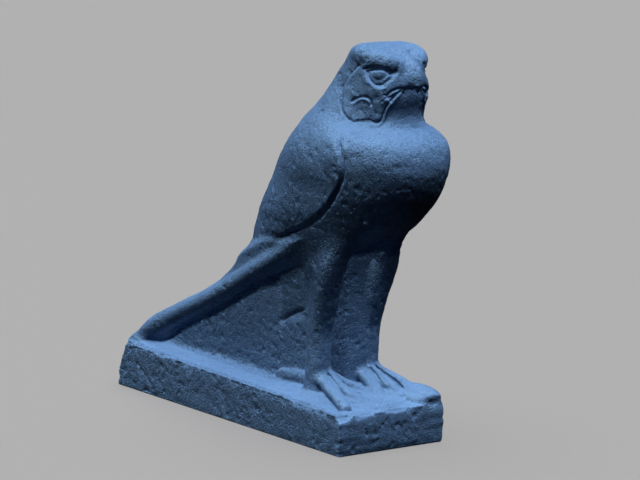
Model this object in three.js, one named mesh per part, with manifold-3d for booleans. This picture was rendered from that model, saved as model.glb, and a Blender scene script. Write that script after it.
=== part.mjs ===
// Horus falcon standing on its plinth, the whole work carved from one block.
// The falcon faces -Y, its tail runs back to +Y, +Z is up, and all sizes are millimetres.
// The bird is described as a field that is negative inside the stone.
// The field is sampled on a grid, skinned, thinned out, and joined to a cut plinth.
import * as THREE from 'three';
import Module from 'manifold-3d';
import { mergeVertices } from 'three/addons/utils/BufferGeometryUtils.js';

// Block and plinth
const PLINTH_LENGTH = 400;
const PLINTH_WIDTH = 157;
const PLINTH_HEIGHT = 47;
const PLINTH_RISE = 7.5;
const BACK_SLOPE = 0.32;
const BACK_SLOPE_START = 20;
const FIGURE_HEIGHT = 411;

// Figure, as drawn for the sizes above
const CROWN_ROUNDING = 14;
const WING_RELIEF = 3;
const WING_OVERHANG = 5;
const WING_GROOVE_DEPTH = 3;
const WING_GROOVE_WIDTH = 2.2;
const TAIL_HALF_WIDTH = 56;
const TAIL_FLARE = 8;
const TAIL_EDGE_ROUNDING = 11;
const BEAD_RADIUS = 10.5;
const WEB_HALF_WIDTH = 25;
const WEB_FLARE = 10;
const THIGH_THICKNESS = 12;
const THIGH_LEAN = 4.5;
const THIGH_RELIEF = 5;
const LEG_SPREAD = 36;
const ANKLE_RADIUS = 14.5;
const PANEL_FRONT = -107;
const PANEL_TURN = 0.6;
const TOE_RADIUS = 9.5;
const CLAW_RADIUS = 5.5;
const SPUR_RADIUS = 8.3;
const MOUND_HEIGHT = 16;
const PAD_HEIGHT = 12;
const PANEL_TOP = 240;
const PANEL_BACK = -30;
const PANEL_SPREAD = 14;

// Head
const BROW_RADIUS = 8.5;
const SOCKET_DEPTH = 3.2;
const EYE_RADIUS = 10.5;
const BEAK_SLOPE = 0.62;
const RIDGE_RADIUS = 4.5;
const MASK_RELIEF = 1.6;
const THROAT_STEP = 2.5;
const CUT_WIDTH = 1.4;
const CUT_DEPTH = 2;

// Drawing frame: the outlines below are drawn for this block, and the tail ends short of its back.
// Where the face is carved depends on the skin only within the carving reach.
const DRAWN = { length: 400, width: 157, plinth: 47, rise: 7.5, figure: 411 };
const ROOT_DEPTH = 6;
const BELLY_HEIGHT = 208;
const BELLY_SLOPE = 0.5;
const CARVING_REACH = 9;
const EYE_BALL = [26.5, -176.5, 429.5];
const TRIANGLES = 8300;
const SHORTEST_EDGE = 0.4;
const FINE_STEP = 2.4;
const COARSE_STEP = 3.9;
const GRID_MARGIN = 5;
const BREAST_MARGIN = 10;
const TAIL_SETBACK = 10;

const STONE_COLOUR = 0x64809f;

// Trunk cross-sections: height, front y, back y, half-width in front and behind
const TRUNK = [
  [165, -125, 10, 43, 43], [190, -142, 30, 47, 47], [215, -166, 29, 51.5, 51.5],
  [240, -190, 17, 57, 57], [265, -208, 4, 63, 63],
  [290, -226, -8, 68.5, 68.5], [315, -236, -20, 72, 72], [335, -237, -33, 73, 71.5],
  [352, -231, -45.5, 69.5, 67], [363, -219.5, -53, 60, 62.5], [371, -207, -59.5, 48, 58],
  [378, -203.5, -65.5, 43, 53.5], [390, -203.5, -75, 41, 48], [404, -206, -85, 41, 43.5],
  [413, -205, -91, 40, 41.5], [422, -200, -97.5, 39.5, 40.5], [435, -196, -108.5, 39, 39.5],
  [450, -189, -118.5, 38, 38], [463, -181, -127, 37, 37],
];

// Side-view outlines as [y, z]
const WING_FRONT = [
  [-150, 372], [-160, 352], [-169, 336], [-171, 320], [-163, 301],
  [-147, 280], [-122, 258], [-95, 242], [-72, 232],
];
const WING_REST = [
  [-52, 222], [-20, 205], [14, 185], [40, 168], [60, 190], [30, 330],
  [-60, 430], [-130, 400],
];
const TAIL = [
  [-98, 232], [-60, 228], [-20, 220], [22, 197], [33, 182], [45, 170],
  [64, 154.5], [97, 133.5], [134, 112.5], [177, 88.5], [199, 77], [216, 68],
  [216, 30], [161, 56], [133, 76], [97, 97], [59, 119], [11, 149],
  [-26, 173], [-50, 190], [-83, 213],
];
const TAIL_BEAD = [
  [-84, 222], [-57, 207], [-26, 187.5], [10, 164], [58, 134], [96, 113],
  [132, 93], [190, 62],
];
const WEB = [[-95, 30], [215, 30], [215, 66], [120, 100], [20, 160], [-60, 215], [-95, 215]];
const THIGH = [
  [-154, 250], [-84, 254], [-50, 214], [-21, 196], [-25, 160], [-31, 121],
  [-39, 118], [-51, 127], [-68, 134], [-94, 130], [-112, 118], [-126, 150], [-132, 175],
  [-140, 207],
];

// Face lines, drawn on a plane turned halfway to the front.
// Each point is [across, up] from the middle of the eye.
const FACE_TURN = THREE.MathUtils.degToRad(41);
const FACE_TILT = THREE.MathUtils.degToRad(11.6);
const EYE = { x: 35, y: -183, z: 428 };
const MASK = [
  [-15.8, 14.2], [-24.4, 9.3], [-30.7, 1.2], [-35.8, -8], [-38.6, -18.2],
  [-39.2, -31.6], [-35, -42.5], [-26.9, -50], [-17, -48.3], [-8.1, -47.2],
  [-3.5, -49.2], [1, -51.2], [5.4, -49.3], [8.9, -43.5], [11.4, -36.7],
  [15.5, -29.9], [20.6, -22.9], [28, -14.7], [36.3, -0.9], [21.8, 20.6],
  [-0.9, 28.4],
];
const SOCKET = [
  [-17.7, 8.5], [-13, 12.2], [-6.6, 12.9], [-1.5, 12.9], [4.6, 12.3], [9.8, 11],
  [12.6, 9], [16, 8.1], [20, 8.9], [21.6, 5.5], [19.3, 1.8],
  [15.1, -2.9], [10.9, -7.6], [7.8, -11.8], [1.5, -13.4], [-5.2, -10.8], [-9.8, -6.6],
  [-13.6, -1], [-15.6, 4.2],
];
const EYE_OPENING = [
  [-11.4, 4.8], [-6.3, 6.2], [0.6, 7.2], [6.7, 6.4], [9.6, 4], [11.5, 0], [8.6, -4.2],
  [4.9, -7.4], [-0.1, -8.3], [-4.9, -6.4], [-8.9, -1.6],
];
const THROAT = [
  [8.9, -21.3], [14.2, -14.9], [22.3, -11.1], [35.6, -9.3], [67.8, -8.1],
  [70, -50.4], [5.6, -53.8], [9.5, -43.5], [12, -36.7], [16, -29.2],
];
const FACE_CUTS = [
  [[21.7, -21.2], [16, -28.8], [11.9, -36.8], [9.5, -43.5], [5.4, -49.8], [0.7, -51.4],
    [-3.5, -49.2], [-5.9, -46.6]],
  [[-26.4, -49.9], [-28.2, -40], [-27.7, -31], [-24.9, -25.8], [-18.4, -22.9], [-11.6, -23.6],
    [-7.4, -27.6], [-6.1, -32]],
  [[-21.2, 11.7], [-28.6, 3.5], [-33.7, -4.6], [-37.1, -13.7], [-38.8, -23.8], [-38.6, -32.7],
    [-34.5, -43], [-28, -49.4], [-23.5, -49.8]],
  [[8.3, -21.1], [12.6, -16.9], [19.1, -12.9]],
];
const BEAK_SIDE = [
  [6, -24], [14.2, -14.9], [22.3, -11.1], [35.6, -9.6], [40.5, -12], [43.5, -18], [48, -21],
  [62, -21], [62, 45], [-5, 45], [-5, -10],
];

// Tubes of the legs, feet and head as [x, y, z]
const NEAR_TOES = [
  [[-34, -112, 72], [-38, -134, 64], [-43, -156, 57], [-51, -179, 50]],
  [[-30, -114, 73], [-26, -137, 64], [-21, -155, 56], [-13, -167, 50]],
  [[-26, -112, 70], [-12, -125, 62], [0, -138, 56], [11, -150, 50]],
];
const FAR_TOES = [
  [[26, -114, 70], [20, -135, 63], [14, -153, 56], [11, -166, 50]],
  [[32, -114, 73], [34, -137, 65], [36, -152, 58], [39, -165, 51]],
  [[37, -112, 72], [46, -130, 66], [51, -150, 61], [56, -170, 54]],
];
const MOUND = [62, -171, 47];
const PADS = [
  { at: [0, -104, 46], size: [64, 90, PAD_HEIGHT] },
  { at: [-28, -139, 51], size: [21, 35, PAD_HEIGHT] },
  { at: [37, -138, 51], size: [24, 34, PAD_HEIGHT] },
  { at: [-LEG_SPREAD + 3, -114, 57], size: [14, 17, 13] },
  { at: [LEG_SPREAD, -114, 57], size: [15, 17, 13] },
];
const BROW = [
  [23, -132, 446], [30, -147, 448], [32, -161, 447.5], [30, -174, 446], [24, -185, 444],
  [17, -191, 442.5],
];
const BEAK = [
  [-150, 449], [-168, 451.5], [-182, 452.5], [-194, 450.5], [-203.5, 446], [-210.5, 440.5],
  [-215.5, 432], [-217.3, 423.5], [-216.5, 416.5], [-213.5, 409.5], [-209, 390], [-150, 380],
];
const CHEEK = [[9, -191, 424], [19, -183, 421], [26, -173, 420]];

// Chips knocked out of the plinth: centre, radii and turn about the vertical
const CHIPS = [
  { at: [-80, -203, 52], size: [24, 15, 13], turn: 0.4 },
  { at: [-68, -176, 55], size: [16, 26, 10], turn: -0.5 },
  { at: [-38, -203, 52], size: [24, 7, 7], turn: 0.1 },
  { at: [10, -204, 51], size: [32, 9, 9], turn: -0.05 },
  { at: [60, -204, 51], size: [14, 9, 8], turn: 0.2 },
  { at: [-82, 128, 60], size: [9, 28, 11], turn: 0.1 },
  { at: [-86, 188, 64], size: [13, 20, 16], turn: 0.3 },
  { at: [-84, 20, 60], size: [7, 30, 10], turn: 0 },
  { at: [84, 70, 60], size: [8, 36, 10], turn: 0.1 },
  { at: [86, 206, 60], size: [16, 20, 16], turn: 0.6 },
];

function smoothMin(a, b, k) {
  const h = Math.max(k - Math.abs(a - b), 0);
  return Math.min(a, b) - (h * h) / (4 * k);
}

function smoothMax(a, b, k) {
  return -smoothMin(-a, -b, k);
}

function step(from, to, v) {
  const t = Math.min(Math.max((v - from) / (to - from), 0), 1);
  return t * t * (3 - 2 * t);
}

// Points of a smooth curve through the given ones.
function curve(points, divisions, closed) {
  const path = new THREE.CatmullRomCurve3(
    points.map(([u, v]) => new THREE.Vector3(u, v, 0)), closed, 'catmullrom', 0.5);
  const count = divisions * (closed ? points.length : points.length - 1);
  const out = path.getPoints(count).map((p) => [p.x, p.y]);
  if (closed) out.pop();
  return out;
}

function lineDistance(line, u, v, closed) {
  let best = Infinity;
  const last = closed ? line.length : line.length - 1;
  for (let i = 0; i < last; i++) {
    const [ax, ay] = line[i];
    const [bx, by] = line[(i + 1) % line.length];
    const dx = bx - ax;
    const dy = by - ay;
    const t = Math.min(Math.max(((u - ax) * dx + (v - ay) * dy) / (dx * dx + dy * dy), 0), 1);
    const ex = u - ax - t * dx;
    const ey = v - ay - t * dy;
    best = Math.min(best, ex * ex + ey * ey);
  }
  return Math.sqrt(best);
}

// Signed distance to a closed outline, negative inside.
function region(line, u, v) {
  let inside = false;
  for (let i = 0; i < line.length; i++) {
    const [ax, ay] = line[i];
    const [bx, by] = line[(i + 1) % line.length];
    if ((ay > v) !== (by > v) && u < ((bx - ax) * (v - ay)) / (by - ay) + ax) inside = !inside;
  }
  const d = lineDistance(line, u, v, true);
  return inside ? -d : d;
}

// Value of one column of a table of sections at a height.
function sectionTable(rows, column) {
  const line = curve(rows.map((row) => [row[0], row[column]]), 8, false);
  return (z) => {
    if (z <= line[0][0]) return line[0][1];
    for (let i = 1; i < line.length; i++) {
      if (z <= line[i][0]) {
        const [z0, v0] = line[i - 1];
        const [z1, v1] = line[i];
        return v0 + ((v1 - v0) * (z - z0)) / (z1 - z0);
      }
    }
    return line[line.length - 1][1];
  };
}

// A slab of a side outline and half-width, with rounded edges.
function inflate(x, side, width, rounding) {
  const a = Math.abs(x) / width;
  const b = Math.max(1 + side / rounding, 0);
  const q = Math.hypot(a, b);
  return ((q - 1) * (a * a * width + b * b * rounding)) / Math.max(q * q, 1e-6);
}

// A tapering round tube along points, its radius running through the given radii.
function tube(x, y, z, points, radii, squash = 1) {
  let best = Infinity;
  for (let i = 0; i < points.length - 1; i++) {
    const a = points[i];
    const b = points[i + 1];
    const d = [b[0] - a[0], b[1] - a[1], b[2] - a[2]];
    const length2 = d[0] * d[0] + d[1] * d[1] + d[2] * d[2];
    const along = ((x - a[0]) * d[0] + (y - a[1]) * d[1] + (z - a[2]) * d[2]) / length2;
    const t = Math.min(Math.max(along, 0), 1);
    const off = Math.hypot(x - a[0] - t * d[0], y - a[1] - t * d[1], (z - a[2] - t * d[2]) * squash);
    best = Math.min(best, off - radii[i] - t * (radii[i + 1] - radii[i]));
  }
  return best;
}

function ball(x, y, z, centre, radii) {
  const a = [(x - centre[0]) / radii[0], (y - centre[1]) / radii[1], (z - centre[2]) / radii[2]];
  const k = Math.hypot(a[0], a[1], a[2]);
  const slope = Math.hypot(a[0] / radii[0], a[1] / radii[1], a[2] / radii[2]);
  return (k * (k - 1)) / Math.max(slope, 1e-9);
}

function groove(distance, width, depth) {
  return depth * Math.exp(-((distance / width) ** 2));
}

const topAt = (y) => DRAWN.plinth + DRAWN.rise * (y / DRAWN.length + 0.5);

const trunkFront = sectionTable(TRUNK, 1);
const trunkBack = sectionTable(TRUNK, 2);
const trunkHalfFront = sectionTable(TRUNK, 3);
const trunkHalfBack = sectionTable(TRUNK, 4);

// Everything that depends only on the height.
function levelOf(z) {
  return {
    front: trunkFront(z),
    back: trunkBack(z),
    halfFront: trunkHalfFront(z),
    halfBack: trunkHalfBack(z),
    square: 2.35 + 0.15 * step(372, 396, z),
    low: step(300, 245, z),
    high: step(345, 374, z),
  };
}

const wingLine = curve(WING_FRONT, 4, false);
const wingShape = curve([...WING_FRONT, ...WING_REST], 4, true);
const tailShape = curve(TAIL, 4, true);
const thighShape = curve(THIGH, 4, true);

// Everything that depends only on the place in the side view.
function sideOf(y, z) {
  return {
    wing: region(wingShape, y, z),
    wingFront: lineDistance(wingLine, y, z, false),
    tail: region(tailShape, y, z),
    web: region(WEB, y, z),
    thigh: region(thighShape, y, z),
    beak: z > 364 ? region(beakShape, y, z) : 0,
  };
}

function trunk(x, y, z, level) {
  const middle = (level.front + level.back) / 2;
  const reach = (level.back - level.front) / 2;
  const half = level.halfFront + (level.halfBack - level.halfFront) * step(-170, -115, y);
  const n = level.square;
  const u = Math.abs(y - middle) / reach;
  const s = Math.abs(x) / half;
  const q = (u ** n + s ** n) ** (1 / n);
  const slope = Math.hypot(s ** (n - 1) / half, (1.18 * u ** (n - 1)) / reach)
    / Math.max(q ** (n - 1), 1e-6);
  const below = (BELLY_HEIGHT - BELLY_SLOPE * (y - PANEL_FRONT) - z) * 0.9;
  const body = smoothMax((q - 1) / Math.max(slope, 1 / 120), below, 14);
  return smoothMax(body, z - (DRAWN.plinth + DRAWN.figure), CROWN_ROUNDING);
}

// The wings stand proud of the breast and overhang the thighs.
function wings(f, x, y, level, side) {
  const flank = step(30, 50, Math.abs(x));
  if (flank === 0) return f;
  const soft = 2 + 9 * level.high + 14 * step(-70, -20, y);
  const relief = WING_RELIEF * (1 - 0.5 * level.high) + WING_OVERHANG * level.low;
  const plate = relief * step(soft, -soft, side.wing);
  const cut = groove(side.wingFront, WING_GROOVE_WIDTH, WING_GROOVE_DEPTH) * (1 - level.high);
  return f - (plate - cut) * flank;
}

const beadPath = TAIL_BEAD.map(([y, z], i) => {
  const share = i / (TAIL_BEAD.length - 1);
  return [TAIL_HALF_WIDTH - 8 + TAIL_FLARE * share, y, z];
});
const beadRadii = TAIL_BEAD.map((p, i) => (i === 0 ? BEAD_RADIUS / 2 : BEAD_RADIUS + 0.2 * i));

function tail(f, x, y, z, side) {
  const half = TAIL_HALF_WIDTH + TAIL_FLARE * step(60, 190, y);
  const out = smoothMin(f, inflate(x, side.tail, half, TAIL_EDGE_ROUNDING), 18);
  return smoothMin(out, tube(Math.abs(x), y, z, beadPath, beadRadii), 4);
}

// The tail ends above the back of the plinth, flush with it below and bevelled above.
function tailEnd(y, z) {
  const end = DRAWN.length / 2 - TAIL_SETBACK;
  return Math.max((y - (end - 1)) * 0.95 + (z - 54.5) * 0.3, (y - end) * 0.78 + (z - 58) * 0.62);
}

// Web of stone left between the legs and the tail, and the panel behind the shins.
function web(f, x, y, z, side) {
  const slab = inflate(x, side.web, WEB_HALF_WIDTH + WEB_FLARE * step(60, 170, y), 4);
  const half = WEB_HALF_WIDTH + PANEL_SPREAD * step(150, 215, z);
  const front = PANEL_FRONT - PANEL_TURN * Math.max(x, 0) - y;
  const panel = Math.max(Math.abs(x) - half, front, y - PANEL_BACK, z - PANEL_TOP);
  return smoothMin(smoothMin(f, slab, 4), panel, 5);
}

const shin = [
  [LEG_SPREAD, -107, 50], [LEG_SPREAD, -107.5, 82], [LEG_SPREAD, -106.5, 120],
  [LEG_SPREAD + 1, -111, 150], [LEG_SPREAD + 3, -118, 175], [LEG_SPREAD + 4, -128, 203],
  [LEG_SPREAD - 2, -137, 228],
];
const shinRadii = [1.03, 1, 1.03, 1.07, 1.08, 1, 0.8].map((share) => share * ANKLE_RADIUS);

function legs(f, x, y, z, side) {
  const middle = LEG_SPREAD + THIGH_LEAN * step(145, 205, z);
  const flap = WEB_HALF_WIDTH + THIGH_RELIEF + 0.1 * (z - 150);
  let outer = middle + THIGH_THICKNESS - 13 * step(200, 245, z) * step(-100, -150, y);
  outer += (flap - outer) * step(-112, -52, y);
  const inner = Math.min(middle - THIGH_THICKNESS, outer - 6);
  const slab = inflate(Math.abs(x) - (outer + inner) / 2, side.thigh, (outer - inner) / 2, 10);
  const blend = 6 + 10 * step(200, 238, z);
  const out = smoothMin(f, slab, blend);
  return smoothMin(out, tube(Math.abs(x), y, z, shin, shinRadii), blend);
}

function feet(f, x, y, z) {
  const radii = [TOE_RADIUS + 2, TOE_RADIUS, TOE_RADIUS - 1, CLAW_RADIUS];
  let toes = Infinity;
  for (const path of [...NEAR_TOES, ...FAR_TOES]) {
    toes = Math.min(toes, smoothMin(toes, tube(x, y, z, path, radii, 1.15), 2.5));
  }
  for (const { at, size } of PADS) toes = smoothMin(toes, ball(x, y, z, at, size), 5);
  const spur = [[LEG_SPREAD - 4, -84, 61], [LEG_SPREAD - 6, -58, 59], [LEG_SPREAD - 7, -36, 56.5]];
  const spurRadii = [SPUR_RADIUS, SPUR_RADIUS, SPUR_RADIUS * 0.7];
  toes = smoothMin(toes, tube(Math.abs(x), y, z, spur, spurRadii), 3);
  toes = smoothMin(toes, ball(x, y, z, MOUND, [26, 34, MOUND_HEIGHT]), 6);
  toes = smoothMax(toes, -y - DRAWN.length / 2 + 1, 3);
  toes = smoothMax(toes, Math.abs(x) - DRAWN.width / 2 + 1, 3);
  return smoothMin(f, toes, 5);
}

const maskShape = curve(MASK, 3, true);
const socketShape = curve(SOCKET, 3, true);
const faceCuts = FACE_CUTS.map((line) => curve(line, 3, false));
const browRadii = [0.35, 0.75, 0.94, 1, 1, 0.88].map((share) => share * BROW_RADIUS);
const cheekRadii = [9, 10, 10];
const beakShape = curve(BEAK, 3, true);
const eyeShape = curve(EYE_OPENING, 3, true);

function head(f, x, y, z, side) {
  const ax = Math.abs(x);
  const dx = ax - EYE.x;
  const dy = y - EYE.y;
  const across = -dx * Math.cos(FACE_TURN) - dy * Math.sin(FACE_TURN);
  const depth = -dx * Math.sin(FACE_TURN) + dy * Math.cos(FACE_TURN);
  const up = depth * Math.sin(FACE_TILT) + (z - EYE.z) * Math.cos(FACE_TILT);
  const cheek = tube(ax, y, z, CHEEK, cheekRadii);
  const brow = tube(ax, y, z, BROW, browRadii);
  const ridge = Math.hypot(x, RIDGE_RADIUS) - RIDGE_RADIUS;
  const bill = (ridge + BEAK_SLOPE * side.beak) / Math.hypot(1, BEAK_SLOPE);
  const nearest = Math.min(f, cheek, brow, bill);
  if (Math.abs(nearest) > CARVING_REACH) return nearest;
  let out = smoothMin(f, cheek, 12);
  out -= MASK_RELIEF * step(1, -1, region(maskShape, across, up));
  out = smoothMin(out, brow, 9);
  out += SOCKET_DEPTH * step(0.8, -3, region(socketShape, across, up));
  const beak = smoothMax(bill, region(BEAK_SIDE, across, up), 2);
  out = smoothMin(out, beak, 6);
  const throat = step(0.8, -2, region(THROAT, across, up)) * step(370, 386, z);
  out += THROAT_STEP * throat * step(-3, 1, beak);
  const eyeBall = ball(ax, y, z, EYE_BALL, [EYE_RADIUS, EYE_RADIUS, EYE_RADIUS]);
  out = smoothMin(out, smoothMax(eyeBall, region(eyeShape, across, up), 1), 0.6);
  for (const line of faceCuts) out += groove(lineDistance(line, across, up, false), CUT_WIDTH, CUT_DEPTH);
  return out;
}

function figure(x, y, z, level, side) {
  let f = trunk(x, y, z, level);
  f = wings(f, x, y, level, side);
  if (z < 260) {
    f = tail(f, x, y, z, side);
    f = web(f, x, y, z, side);
    f = smoothMax(f, tailEnd(y, z), 4);
    f = legs(f, x, y, z, side);
  }
  if (z < 90) f = feet(f, x, y, z);
  if (z > 364 && f < 20) f = head(f, x, y, z, side);
  return Math.max(f, topAt(y) - ROOT_DEPTH - z);
}

// Grid lines from one end to the other, closer together inside the fine bands.
function gridLines(from, to, fineBands) {
  const lines = [from];
  while (lines[lines.length - 1] < to) {
    const at = lines[lines.length - 1];
    const fine = fineBands.some(([lo, hi]) => at >= lo && at < hi);
    lines.push(at + (fine ? FINE_STEP : COARSE_STEP));
  }
  return lines;
}

function sampleFigure() {
  const widest = Math.max(...TRUNK.map((row) => row[3])) + WING_RELIEF;
  const foremost = Math.min(...TRUNK.map((row) => row[1]));
  const side = Math.max(DRAWN.width / 2, widest) + GRID_MARGIN;
  const end = DRAWN.length / 2 + GRID_MARGIN;
  const floor = DRAWN.plinth - ROOT_DEPTH - GRID_MARGIN;
  const crown = DRAWN.plinth + DRAWN.figure + GRID_MARGIN;
  const xs = gridLines(-side, side, [[-48, 48]]);
  const ys = gridLines(Math.min(-end, foremost - BREAST_MARGIN), end, [[-222, -110]]);
  const zs = gridLines(floor, crown, [[floor, DRAWN.plinth + 30], [EYE.z - 62, crown]]);
  const size = [xs.length, ys.length, zs.length];
  const values = new Float32Array(size[0] * size[1] * size[2]);
  const levels = zs.map(levelOf);
  for (let j = 0; j < size[1]; j++) {
    for (let k = 0; k < size[2]; k++) {
      const outlines = sideOf(ys[j], zs[k]);
      for (let i = 0; i < size[0]; i++) {
        values[(i * size[1] + j) * size[2] + k] = figure(xs[i], ys[j], zs[k], levels[k], outlines);
      }
    }
  }
  return { xs, ys, zs, size, values };
}

// Fill the grid cells whose corners only touch across a diagonal, so the skin stays a clean surface.
function closeDiagonals(grid) {
  const { size, values } = grid;
  const stride = [size[1] * size[2], size[2], 1];
  const faces = [[0, 1], [1, 2], [2, 0]];
  const corners = [];
  for (let n = 0; n < 8; n++) corners.push((n & 1) * stride[0] + ((n >> 1) & 1) * stride[1] + (n >> 2));
  let changed = true;
  while (changed) {
    changed = false;
    for (let i = 0; i < size[0] - 1; i++) {
      for (let j = 0; j < size[1] - 1; j++) {
        for (let k = 0; k < size[2] - 1; k++) {
          const at = i * stride[0] + j * stride[1] + k;
          let inside = 0;
          for (const offset of corners) inside += values[at + offset] < 0 ? 1 : 0;
          if (inside === 0 || inside === 8) continue;
          for (const [p, q] of faces) {
            const a = values[at] < 0;
            const b = values[at + stride[p]] < 0;
            const c = values[at + stride[q]] < 0;
            const d = values[at + stride[p] + stride[q]] < 0;
            if (a === d && b === c && a !== b) {
              values[a ? at + stride[p] : at] = -0.05;
              changed = true;
            }
          }
          if (inside !== 2 && inside !== 6) continue;
          for (let n = 0; n < 4; n++) {
            const lone = values[at + corners[n]] < 0;
            const same = lone === values[at + corners[7 - n]] < 0;
            if (same && lone === (inside === 2)) {
              values[at + corners[inside === 2 ? n ^ 1 : n]] = -0.05;
              changed = true;
            }
          }
        }
      }
    }
  }
}

// One vertex per crossed cell, one quad per crossed grid edge.
function skin(grid) {
  const { xs, ys, zs, size, values } = grid;
  const axes = [xs, ys, zs];
  const stride = [size[1] * size[2], size[2], 1];
  const ids = new Int32Array(values.length).fill(-1);
  const points = [];
  const index = [0, 0, 0];
  for (index[0] = 0; index[0] < size[0] - 1; index[0]++) {
    for (index[1] = 0; index[1] < size[1] - 1; index[1]++) {
      for (index[2] = 0; index[2] < size[2] - 1; index[2]++) {
        const at = index[0] * stride[0] + index[1] * stride[1] + index[2];
        const sum = [0, 0, 0];
        let crossings = 0;
        for (let axis = 0; axis < 3; axis++) {
          const p = (axis + 1) % 3;
          const q = (axis + 2) % 3;
          for (let n = 0; n < 4; n++) {
            const dp = n & 1;
            const dq = n >> 1;
            const lo = at + dp * stride[p] + dq * stride[q];
            const f0 = values[lo];
            const f1 = values[lo + stride[axis]];
            if ((f0 < 0) === (f1 < 0)) continue;
            const t = f0 / (f0 - f1);
            const line = axes[axis];
            sum[axis] += line[index[axis]] + t * (line[index[axis] + 1] - line[index[axis]]);
            sum[p] += axes[p][index[p] + dp];
            sum[q] += axes[q][index[q] + dq];
            crossings++;
          }
        }
        if (crossings > 0) {
          ids[at] = points.length;
          points.push([sum[0] / crossings, sum[1] / crossings, sum[2] / crossings]);
        }
      }
    }
  }
  const triangles = [];
  for (let i = 1; i < size[0] - 1; i++) {
    for (let j = 1; j < size[1] - 1; j++) {
      for (let k = 1; k < size[2] - 1; k++) {
        const at = i * stride[0] + j * stride[1] + k;
        for (let axis = 0; axis < 3; axis++) {
          const inside = values[at] < 0;
          if (inside === values[at + stride[axis]] < 0) continue;
          const p = stride[(axis + 1) % 3];
          const q = stride[(axis + 2) % 3];
          const quad = [ids[at - p - q], ids[at - q], ids[at], ids[at - p]];
          if (!inside) quad.reverse();
          triangles.push([quad[0], quad[1], quad[2]], [quad[0], quad[2], quad[3]]);
        }
      }
    }
  }
  return { points, triangles };
}

// Squared distance to the planes of the faces round a point, as a symmetric 4 x 4 form.
function addPlane(form, n, d, weight) {
  const v = [n.x, n.y, n.z, d];
  let slot = 0;
  for (let i = 0; i < 4; i++) {
    for (let j = i; j < 4; j++) form[slot++] += weight * v[i] * v[j];
  }
}

function formAt(m, p) {
  return m[0] * p.x * p.x + m[4] * p.y * p.y + m[7] * p.z * p.z + m[9]
    + 2 * (m[1] * p.x * p.y + m[2] * p.x * p.z + m[5] * p.y * p.z + m[3] * p.x + m[6] * p.y + m[8] * p.z);
}

// The point where a form is least, or null where it has no clear one.
function lowestPoint(m) {
  const matrix = new THREE.Matrix3().set(m[0], m[1], m[2], m[1], m[4], m[5], m[2], m[5], m[7]);
  const size = (m[0] + m[4] + m[7]) / 3;
  if (Math.abs(matrix.determinant()) < 1e-3 * size ** 3) return null;
  return new THREE.Vector3(-m[3], -m[6], -m[8]).applyMatrix3(matrix.invert());
}

// A queue that hands back the cheapest edge first.
class EdgeQueue {
  constructor() {
    this.items = [];
  }

  push(item) {
    const list = this.items;
    let at = list.length;
    list.push(item);
    while (at > 0) {
      const up = (at - 1) >> 1;
      if (list[up].cost <= item.cost) break;
      list[at] = list[up];
      at = up;
    }
    list[at] = item;
  }

  pop() {
    const list = this.items;
    const top = list[0];
    const item = list.pop();
    if (list.length === 0) return top;
    let at = 0;
    for (;;) {
      let down = 2 * at + 1;
      if (down >= list.length) break;
      if (down + 1 < list.length && list[down + 1].cost < list[down].cost) down++;
      if (list[down].cost >= item.cost) break;
      list[at] = list[down];
      at = down;
    }
    list[at] = item;
    return top;
  }
}

// How much a place of the carving counts when the skin is thinned out.
function careAt(p) {
  if (p.z > 376 && p.y < -125) return 9;
  if (p.z < 82 && p.y < -20) return 3;
  return 1;
}

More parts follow.
